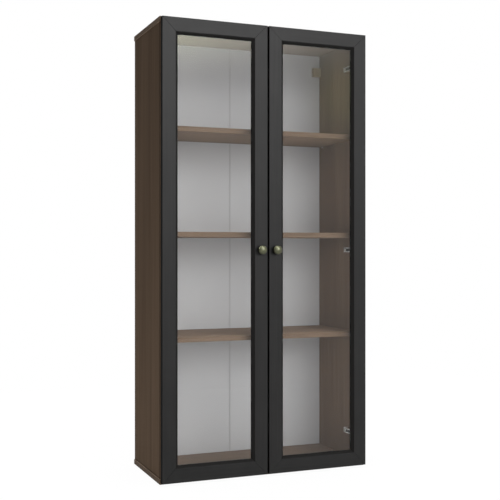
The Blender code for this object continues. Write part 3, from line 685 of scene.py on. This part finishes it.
for word in sides:
    low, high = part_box("door_%s_knob" % word)
    middle = (low + high) / 2
    profile = knobProfile((high.x - low.x) / 2, knobReach, doorFace - high.y)
    body = turned(profile, (middle.x, doorFace, middle.z), (0, -1, 0), knob["steps"])
    addPiece("knob_" + word, [body], paints["brass"], word + "_door",
             ["door_%s_knob" % word])
print("knobs turned")


# Screws with a cross recess: shares of the head's radius
screw = {
    "armHalf": 0.16, "armReach": 0.62, "soft": 0.07,
    "recess": 0.80,                                    # its depth, as a share of the head's rise
    "sink": 0.0003,                                    # of its foot under the face it sits on, in metres
    "innerRings": (0.9, 15),                           # evenly out to here, and how many
    "rimRings": (0.95, 0.985, 1.0),
    "steps": 48,
}


def screwHead(centre, axis, radius, rise, turn=0.0):
    # height = rise * (sqrt(1 - s^4) less the recess), s the share of the radius; the recess is full where
    # the point lies in either arm of a cross, and fades out over the soft edge
    axis, across, up = squareTo(axis)
    s = np.concatenate([np.linspace(0, *screw["innerRings"]), screw["rimRings"]])[:, None]
    a = np.linspace(0, 2 * np.pi, screw["steps"], endpoint=False)[None, :]
    x, y = np.abs(s * np.cos(a)), np.abs(s * np.sin(a))
    inArm = np.clip((screw["armHalf"] - np.minimum(x, y)) / screw["soft"], 0, 1)
    inReach = np.clip((screw["armReach"] - np.maximum(x, y)) / screw["soft"], 0, 1)
    height = rise * (np.sqrt(np.maximum(1 - s ** 4, 0)) - screw["recess"] * inArm * inReach)
    out = radius * s[:, :, None]
    turnedA = (a + radians(turn))[:, :, None]
    face = out * (np.cos(turnedA) * across + np.sin(turnedA) * up) + height[:, :, None] * axis
    skirt = face[-1:] - screw["sink"] * axis
    foot = np.broadcast_to(-screw["sink"] * axis, skirt.shape)
    return closedAtPoles(np.array(centre) + np.concatenate([face, skirt, foot]))


# Concealed hinges
hinge = {
    "wall": 0.0012, "floor": 0.0010, "flange": 0.0010, "boreRadius": 0.0172, "edgeRound": 0.0003,
    "bowlRound": 0.0015, "mouthRound": 0.0005, "floorRound": 0.0020, "cupSteps": 96,
    "wingRadius": 0.0055, "wingShift": 0.0055,
    "pinRadius": 0.0014, "pinEase": 0.25, "pinSteps": 24,
    "armBevel": 0.00035, "linkBevel": 0.0003,
    "armScrew": (0.0046, 0.0013), "adjuster": (0.0029, 0.0008),    # each screw's head radius and rise
    "plateScrew": (0.0038, 0.0012), "cupScrew": (0.0036, 0.0010),
    "armScrewFromRear": 0.0180,                        # from the arm's rear end
    "adjusterFromFront": 0.0300,                       # from the front edge of the top panel
    "plateScrewsFromFront": 0.0370, "plateScrewZ": 0.0155,
    "plateTop": 0.0027,                                # side's face to the top of the plate's wings
}


def wingOutline(radius, wingZ, shrink):
    # the outline that a string would take round the flange's circle and the two wings' circles:
    # for each direction n, the furthest of centre + size * n
    n = circle(hinge["cupSteps"])
    centres = np.array([(0.0, 0.0), (hinge["wingShift"], wingZ), (hinge["wingShift"], -wingZ)])
    sizes = np.array([radius, hinge["wingRadius"], hinge["wingRadius"]]) - shrink
    furthest = (n @ centres.T + sizes).argmax(1)
    return centres[furthest] + sizes[furthest][:, None] * n


def cupPart(low, high, wingZ, inward):
    # a bowl let into the door, and its flange, as one closed wall: rings (x, z) at a depth t, up the
    # outside, round the flange and down the inside
    radius = (high.x - low.x) / 2
    top, deep = high.y - doorBack, low.y - doorBack
    seat, floorTop = top - hinge["flange"], deep + hinge["floor"]
    outer, inner = hinge["boreRadius"], hinge["boreRadius"] - hinge["wall"]
    shrink, bowlRound = hinge["edgeRound"], hinge["bowlRound"]
    mouthRound, floorRound = hinge["mouthRound"], hinge["floorRound"]
    bowl = np.vstack([[(0.0, deep)], arc(outer - bowlRound, deep + bowlRound, bowlRound, -90, 0, 6),
                      [(outer, seat)]])
    edge = [(shrink, seat), (0.0, seat + shrink), (0.0, top - shrink), (shrink, top)]
    mouth = np.vstack([arc(inner + mouthRound, top - mouthRound, mouthRound, 90, 180, 5),
                       arc(inner - floorRound, floorTop + floorRound, floorRound, 0, -90, 6),
                       [(0.0, floorTop)]])
    ring = circle(hinge["cupSteps"])
    rings = [(ring * r, t) for r, t in bowl]
    rings += [(wingOutline(radius, wingZ, off), t) for off, t in edge]
    rings += [(ring * r, t) for r, t in mouth]
    flat = np.array([outline for outline, _ in rings])
    depth = np.array([t for _, t in rings])[:, None] * np.ones(len(ring))
    centre = np.array([(low.x + high.x) / 2, doorBack, (low.z + high.z) / 2])
    return closedAtPoles(centre + np.stack([flat[..., 0] * inward, depth, flat[..., 1]], -1))


def pinPart(centre, radius, half):
    # a pivot pin with eased ends, along Z
    ease = radius * hinge["pinEase"]
    profile = [(0.0, -half), (radius - ease, -half), (radius, -half + ease), (radius, half - ease),
               (radius - ease, half), (0.0, half)]
    return turned(profile, centre, (0, 0, 1), hinge["pinSteps"])


def armScrews(tail, word, z):
    # the arm's screw and its adjuster, and a screw in each wing of the mounting plate
    toMiddle = (-sides[word], 0, 0)
    armTop = innerX("hinge_arm_" + tail)
    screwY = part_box("hinge_arm_" + tail)[1].y - hinge["armScrewFromRear"]
    adjusterY = panelFront + hinge["adjusterFromFront"]
    heads = [screwHead((armTop, screwY, z), toMiddle, *hinge["armScrew"], turn=20),
             screwHead((armTop, adjusterY, z), toMiddle, *hinge["adjuster"], turn=35)]
    plateX = innerX("side_panel_" + word) - sides[word] * hinge["plateTop"]
    plateY = panelFront + hinge["plateScrewsFromFront"]
    for end in (-1, 1):
        place = (plateX, plateY, z + end * hinge["plateScrewZ"])
        heads.append(screwHead(place, toMiddle, *hinge["plateScrew"], turn=12 + 40 * end))
    return heads


def addHinge(word, level):
    tail, inward = word + "_" + level, -sides[word]
    pivotX, pivotY = joints[word + "_door_hinge"]["pos_m"][:2]
    z = middleOf("hinge_arm_" + tail).z
    low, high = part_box("hinge_cup_" + tail)
    cupX = (low.x + high.x) / 2
    wingZ = (high.z - low.z) / 2 - hinge["wingRadius"]
    pinHalf = np.sqrt(hinge["boreRadius"] ** 2 - (cupX - pivotX) ** 2) - hinge["wall"] / 2
    # the arm's faces that look to either side take the nickel with its band of painted shade
    easedCopy("hinge_arm_" + tail, "arm_" + tail, paints["nickel"], "carcass",
              hinge["armBevel"], paints["armPaintedShade"])
    easedCopy("hinge_link_" + tail, "link_" + tail, paints["nickel"], word + "_links",
              hinge["linkBevel"])
    cup = [cupPart(low, high, wingZ, inward), pinPart((pivotX, pivotY, z), hinge["pinRadius"], pinHalf)]
    addPiece("cup_" + tail, cup, paints["nickel"], word + "_door", ["hinge_cup_" + tail])
    addPiece("hinge_screws_" + tail, armScrews(tail, word, z), paints["nickel"], "carcass")
    screwX = cupX + inward * hinge["wingShift"]
    heads = [screwHead((screwX, high.y, z + end * wingZ), (0, 1, 0), *hinge["cupScrew"], turn=25 + 30 * end)
             for end in (-1, 1)]
    addPiece("cup_screws_" + tail, heads, paints["nickel"], word + "_door")


for word in sides:
    for level in levels:
        addHinge(word, level)
print("hinges made")


# Glides, shelf pins and bumpers
glide = {
    "lowerRound": 0.0015, "upperEase": 0.0003, "steps": 48,
    "hollow": [(0.0, 0.0014), (0.00315, 0.0012), (0.0035, 0.0009), (0.0047, 0.0)],    # radius and height
}
shelfPin = {"radius": 0.0025, "round": 0.0006, "collar": 0.0015, "collarEase": 0.0002, "collarGap": 0.0003,
            "steps": 40}
bumper = {"round": 0.0006, "flat": 0.4, "steps": 32}


def glidePart(low, high):
    # a disc with a round lower edge and a countersunk hollow for its nail
    radius, top = (high.x - low.x) / 2, high.z - low.z
    lower, upper = glide["lowerRound"], glide["upperEase"]
    profile = np.vstack([glide["hollow"], arc(radius - lower, lower, lower, -90, 0),
                         [(radius, top - upper), (radius - upper, top), (0.0, top)]])
    return turned(profile, ((low.x + high.x) / 2, (low.y + high.y) / 2, low.z), (0, 0, 1), glide["steps"])


def shelfPinPart(low, high, word):
    # a rod with round ends and a collar at the side's face, cut flat where the shelf lies on it
    face = innerX("side_panel_" + word)
    reach, sunk = (abs(x - face) for x in sorted((low.x, high.x), key=abs))
    wide = (high.y - low.y) / 2
    radius, ease, collar = shelfPin["radius"], shelfPin["round"], shelfPin["collar"]
    bevel, gap = shelfPin["collarEase"], shelfPin["collarGap"]
    profile = np.vstack([[(0.0, reach)], arc(radius - ease, reach - ease, ease, 90, 0, 5),
                         [(radius, collar), (wide - bevel, collar), (wide, collar - bevel),
                          (wide, gap + bevel / 2), (wide - bevel / 2, gap), (radius, gap)],
                         arc(radius - ease, -sunk + ease, ease, 0, -90, 5), [(0.0, -sunk)]])
    centre = (face, (low.y + high.y) / 2, high.z - radius)
    points, quads, fans = turned(profile, centre, (-sides[word], 0, 0), shelfPin["steps"])
    points[:, 2] = np.minimum(points[:, 2], high.z)
    return points, quads, fans


def padPart(low, high):
    # a low dome stuck to the back of the door
    radius, thick, ease = (high.x - low.x) / 2, high.y - low.y, bumper["round"]
    profile = np.vstack([[(0.0, 0.0), (radius, 0.0)], arc(radius - ease, thick - ease, ease, 0, 80),
                         [(radius * bumper["flat"], thick), (0.0, thick)]])
    return turned(profile, ((low.x + high.x) / 2, low.y, (low.z + high.z) / 2), (0, 1, 0), bumper["steps"])


for word in sides:
    for row in ("front", "rear"):
        node = "glide_%s_%s" % (row, word)
        addPiece("foot_%s_%s" % (row, word), [glidePart(*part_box(node))], paints["glide"], "carcass",
                 [node])
        for shelf in ("upper", "lower"):
            node = "shelf_pin_%s_%s_%s" % (shelf, row, word)
            addPiece("pin_%s_%s_%s" % (shelf, row, word), [shelfPinPart(*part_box(node), word)],
                     paints["nickel"], "carcass", [node], sharp=50)
    for end in ("top", "bottom"):
        node = "door_%s_bumper_%s" % (word, end)
        addPiece("pad_%s_%s" % (word, end), [padPart(*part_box(node))], paints["pad"], word + "_door",
                 [node])
print("glides, shelf pins and bumpers made")


# Glazing beads
bead = {"shoulder": 0.0005, "nose": 0.0013, "swell": 0.0007, "tip": 0.0004, "slopePoints": 9}


def beadPart(word):
    # a section carried round the four mitred corners: u runs inward from the bead's outer edge, t back
    # from its top; the slope between shoulder and tip swells by swell * 4 * s * (1 - s)
    low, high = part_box("door_%s_bead" % word)
    width = abs(innerX("door_%s_stile_outer" % word) - max((low.x, high.x), key=abs))
    foot = high.y - low.y
    shoulderRound, nose, tipRound = bead["shoulder"], foot - bead["nose"], bead["tip"]
    shoulder = arc(shoulderRound, shoulderRound, shoulderRound, 180, 270, 5)
    s = np.linspace(0, 1, bead["slopePoints"])[1:-1, None]
    start, end = shoulder[-1], np.array([width, nose])
    slope = start + (end - start) * s - [0, 1] * (bead["swell"] * 4 * s * (1 - s))
    tip = arc(width - tipRound, nose + tipRound, tipRound, -50, 0, 4)
    section = np.vstack([shoulder, slope, tip, [(width, foot), (0.0, foot)]])
    u, t = section[:, :1], section[:, 1:]
    x, z = np.array([low.x, high.x, high.x, low.x]), np.array([low.z, low.z, high.z, high.z])
    toX, toZ = np.array([1, -1, -1, 1]), np.array([1, 1, -1, -1])
    grid = np.stack([x + toX * u, low.y + t * np.ones(4), z + toZ * u], -1)
    return facingOut(grid.reshape(-1, 3), gridFaces(len(section), 4, True), np.zeros((0, 3), int))


for word in sides:
    addPiece("bead_" + word, [beadPart(word)], paints["bead"], word + "_door",
             ["door_%s_bead" % word], sharp=30)
print("beads run round the panes")


# Nails round the back, screws of the corner blocks and of the knobs
fixing = {
    "nailRadius": 0.0021, "nailHead": 0.0007, "nailSink": 0.0002, "nailSteps": 10,
    "nailProfile": [(0.0, 1.0), (0.7, 0.95), (1.0, 0.4)],           # shares of its radius and head
    "nailPitch": 0.125, "nailInset": 0.0075, "nailFromEnd": 0.03,
    "blockScrew": (0.0042, 0.0011), "knobScrew": (0.0042, 0.0015),
    "blockScrewShares": (0.28, 0.72),                  # of the block's height
}


def nailPart():
    # a flat head with an eased rim
    radius, head, sink = fixing["nailRadius"], fixing["nailHead"], fixing["nailSink"]
    profile = [(radius * r, head * h) for r, h in fixing["nailProfile"]] + [(radius, -sink), (0.0, -sink)]
    return turned(profile, (0, 0, 0), (0, 1, 0), fixing["nailSteps"])


backLow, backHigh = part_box("back_panel_left")[0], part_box("back_panel_right")[1]
nailCount = int((backHigh.z - backLow.z) / fixing["nailPitch"])
nailZ = np.linspace(backLow.z + fixing["nailFromEnd"], backHigh.z - fixing["nailFromEnd"], nailCount)
nailX = np.array([backLow.x, backHigh.x]) + np.array([1, -1]) * fixing["nailInset"]
gridX, gridZ = np.meshgrid(nailX, nailZ)
offsets = np.column_stack([gridX.ravel(), np.full(gridX.size, sheetRear), gridZ.ravel()])
addPiece("back_nails", [repeated(nailPart(), offsets)], paints["nickel"], "carcass")

for word, side in sides.items():
    node = "wall_block_" + word
    low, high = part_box(node)
    places = [(innerX(node), (low.y + high.y) / 2, low.z + share * (high.z - low.z))
              for share in fixing["blockScrewShares"]]
    heads = [screwHead(place, (-side, 0, 0), *fixing["blockScrew"], turn=30 * k)
             for k, place in enumerate(places)]
    addPiece("block_screws_" + word, heads, paints["nickel"], "carcass")
    middle = middleOf("door_%s_knob" % word)
    head = screwHead((middle.x, doorBack, middle.z), (0, 1, 0), *fixing["knobScrew"], turn=15)
    addPiece("knob_screw_" + word, [head], paints["nickel"], word + "_door")
print("nails and screws made")


# Camera at the photograph's angle, level with the middle of the doors
photoCamera = {"place": (-1.3135, -3.2454, 0.8221), "turn": -21.978, "lens": 66.87, "sensor": 36.0,
               "shift": -0.00204}


def addCamera():
    data = bpy.data.cameras.new("photoCamera")
    data.lens = photoCamera["lens"]
    data.sensor_width = photoCamera["sensor"]
    data.shift_y = photoCamera["shift"]
    camera = bpy.data.objects.new("photoCamera", data)
    camera.location = photoCamera["place"]
    camera.rotation_euler = (radians(90), 0.0, radians(photoCamera["turn"]))
    bpy.context.scene.collection.objects.link(camera)
    bpy.context.scene.camera = camera


# Pale studio: a wide, low window light from the right front and a fill on the back. Angles in degrees:
# the azimuth runs from -Y towards +X, the height from the horizon up
studio = {
    "ambient": 0.10,
    "under": 0.02,                                     # from below the horizon, beyond the floor
    "horizon": 0.02,                                   # half the height over which the two meet
    "matt": {                                          # the lamps that matt surfaces are lit by
        "key": {"toward": (13.0, 17.0), "spread": (28.0, 14.0), "strength": 5.5},
        "fill": {"toward": (152.0, 15.0), "spread": (32.0, 20.0), "strength": 1.0},
        "overhead": {"toward": (0.0, 90.0), "spread": (10.0, 10.0), "strength": 16.0},
        "bounce": {"toward": (10.0, -25.0), "spread": (30.0, 12.0), "strength": 2.1},
    },
    "satin": {                                         # the lamps that satin surfaces mirror
        "sheen": {"toward": (16.0, 17.5), "spread": (9.7, 7.5), "strength": 11.5},
        "spark": {"toward": (-2.0, 51.0), "spread": (9.0, 7.0), "strength": 11.0},
    },
    "glint": {"azimuth": (32.0, 13.5), "height": (9.7, 14.0), "strength": 21.5},     # only glass mirrors it
    "veils": {                                         # faint lamps that only glass mirrors too
        "right": {"toward": (27.7, 9.3), "spread": (1.4, 1.6), "strength": 1.15},
        "left": {"toward": (20.0, 8.4), "spread": (3.5, 1.1), "strength": 0.85},
    },
    "glintTone": (0.97, 1.0, 0.75),                    # tone of the glint and of the right veil
    "surround": 1.0,                                   # plain white, as the camera and mirrors see it
    "floorHalf": 2.2,
    "floorTone": (0.86, 0.86, 0.86),
    "floorShown": 0.97,                                # share of plain white in what the camera sees
}


def lampAngles(tree, direction, toward=(0.0, 0.0)):
    # how far a direction lies to the right of the lamp's and above it: atan2(d . right, d . ahead) and
    # asin(d . up)
    azimuth, height = (radians(angle) for angle in toward)
    ahead = (np.sin(azimuth) * np.cos(height), -np.cos(azimuth) * np.cos(height), np.sin(height))
    right = (np.cos(azimuth), np.sin(azimuth), 0.0)
    parts = []
    for axis in (right, ahead, np.cross(ahead, right)):
        part = put(tree, "VectorMath", {"operation": "DOT_PRODUCT"})
        tree.links.new(direction, part.inputs[0])
        part.inputs[1].default_value = axis
        parts.append(part.outputs["Value"])
    return calc(tree, "ARCTAN2", parts[0], parts[1]), calc(tree, "ARCSINE", parts[2])


def softLamp(tree, direction, look):
    # strength * exp(-((across / spread across)^2 + (above / spread above)^2) / 2)
    angles = lampAngles(tree, direction, look["toward"])
    shares = [calc(tree, "DIVIDE", angle, radians(spread)) for angle, spread in zip(angles, look["spread"])]
    total = calc(tree, "ADD", *(calc(tree, "MULTIPLY", share, share) for share in shares))
    bell = calc(tree, "EXPONENT", calc(tree, "MULTIPLY", total, -0.5))
    return calc(tree, "MULTIPLY", bell, look["strength"])


def softPanel(tree, direction, look):
    # ease(azimuth) * ease(height), each an S-curve from 0 at its first angle to 1 at its second
    shares = [put(tree, "MapRange", {"interpolation_type": "SMOOTHSTEP"}, Value=angle,
                  From_Min=radians(look[key][0]), From_Max=radians(look[key][1])).outputs[0]
              for angle, key in zip(lampAngles(tree, direction), ("azimuth", "height"))]
    return calc(tree, "MULTIPLY", *shares)


def lampSum(tree, direction, lamps):
    total = 0.0
    for look in lamps.values():
        total = calc(tree, "ADD", softLamp(tree, direction, look), total)
    return total


def addWorld():
    # white to the camera, and in mirrors and glass, with lamps of their own there; a plain soft light to
    # everything else
    world = bpy.data.worlds.new("studio")
    bpy.context.scene.world = world
    world.use_nodes = True
    tree = world.node_tree
    tree.nodes.clear()
    direction = put(tree, "TexCoord").outputs["Generated"]
    path = put(tree, "LightPath").outputs
    rise = put(tree, "SeparateXYZ", Vector=direction).outputs["Z"]
    around = between(tree, rise, -studio["horizon"], studio["horizon"], studio["under"], studio["ambient"])
    lit = calc(tree, "ADD", lampSum(tree, direction, studio["matt"]), around)
    inGlass = calc(tree, "MULTIPLY", path["Is Glossy Ray"], path["Is Singular Ray"])
    glint = calc(tree, "MULTIPLY", softPanel(tree, direction, studio["glint"]), inGlass)
    veil = calc(tree, "MULTIPLY", softLamp(tree, direction, studio["veils"]["right"]), inGlass)
    glassLight = calc(tree, "ADD", calc(tree, "MULTIPLY", glint, studio["glint"]["strength"]),
                      lampSum(tree, direction, studio["veils"]))
    mirrored = mixed(tree, path["Is Singular Ray"], lampSum(tree, direction, studio["satin"]), glassLight)
    inMirror = calc(tree, "ADD", mirrored, studio["surround"])
    strength = mixed(tree, path["Is Glossy Ray"], lit, inMirror)
    seen = anyOf(tree, path["Is Camera Ray"], path["Is Transmission Ray"])
    tone = blendColours(tree, calc(tree, "ADD", glint, veil, clamp=True), white, studio["glintTone"])
    background = put(tree, "Background", Color=tone, Strength=mixed(tree, seen, strength, studio["surround"]))
    tree.links.new(background.outputs[0], put(tree, "OutputWorld").inputs["Surface"])


def addFloor():
    # the paint keeps the shadow, under a plain white for the camera, mirrors and glass
    half = studio["floorHalf"]
    corners = [(-half, -half, 0), (half, -half, 0), (half, half, 0), (-half, half, 0)]
    mesh = bpy.data.meshes.new("floor")
    mesh.from_pydata(corners, [], [(0, 1, 2, 3)])
    floor = bpy.data.objects.new("floor", mesh)
    bpy.context.scene.collection.objects.link(floor)
    material, tree, shader = startMaterial("floorPaint", Base_Color=studio["floorTone"], Roughness=0.8,
                                           Specular_IOR_Level=0.0)
    path = put(tree, "LightPath").outputs
    seen = anyOf(tree, path["Is Camera Ray"], path["Is Glossy Ray"], path["Is Transmission Ray"])
    glow = put(tree, "Emission", Strength=studio["surround"])
    mixShaders(tree, shader, glow, calc(tree, "MULTIPLY", seen, studio["floorShown"]))
    mesh.materials.append(material)


addCamera()
addWorld()
addFloor()
bpy.context.scene.view_settings.view_transform = "Standard"
print("camera, light and floor placed")
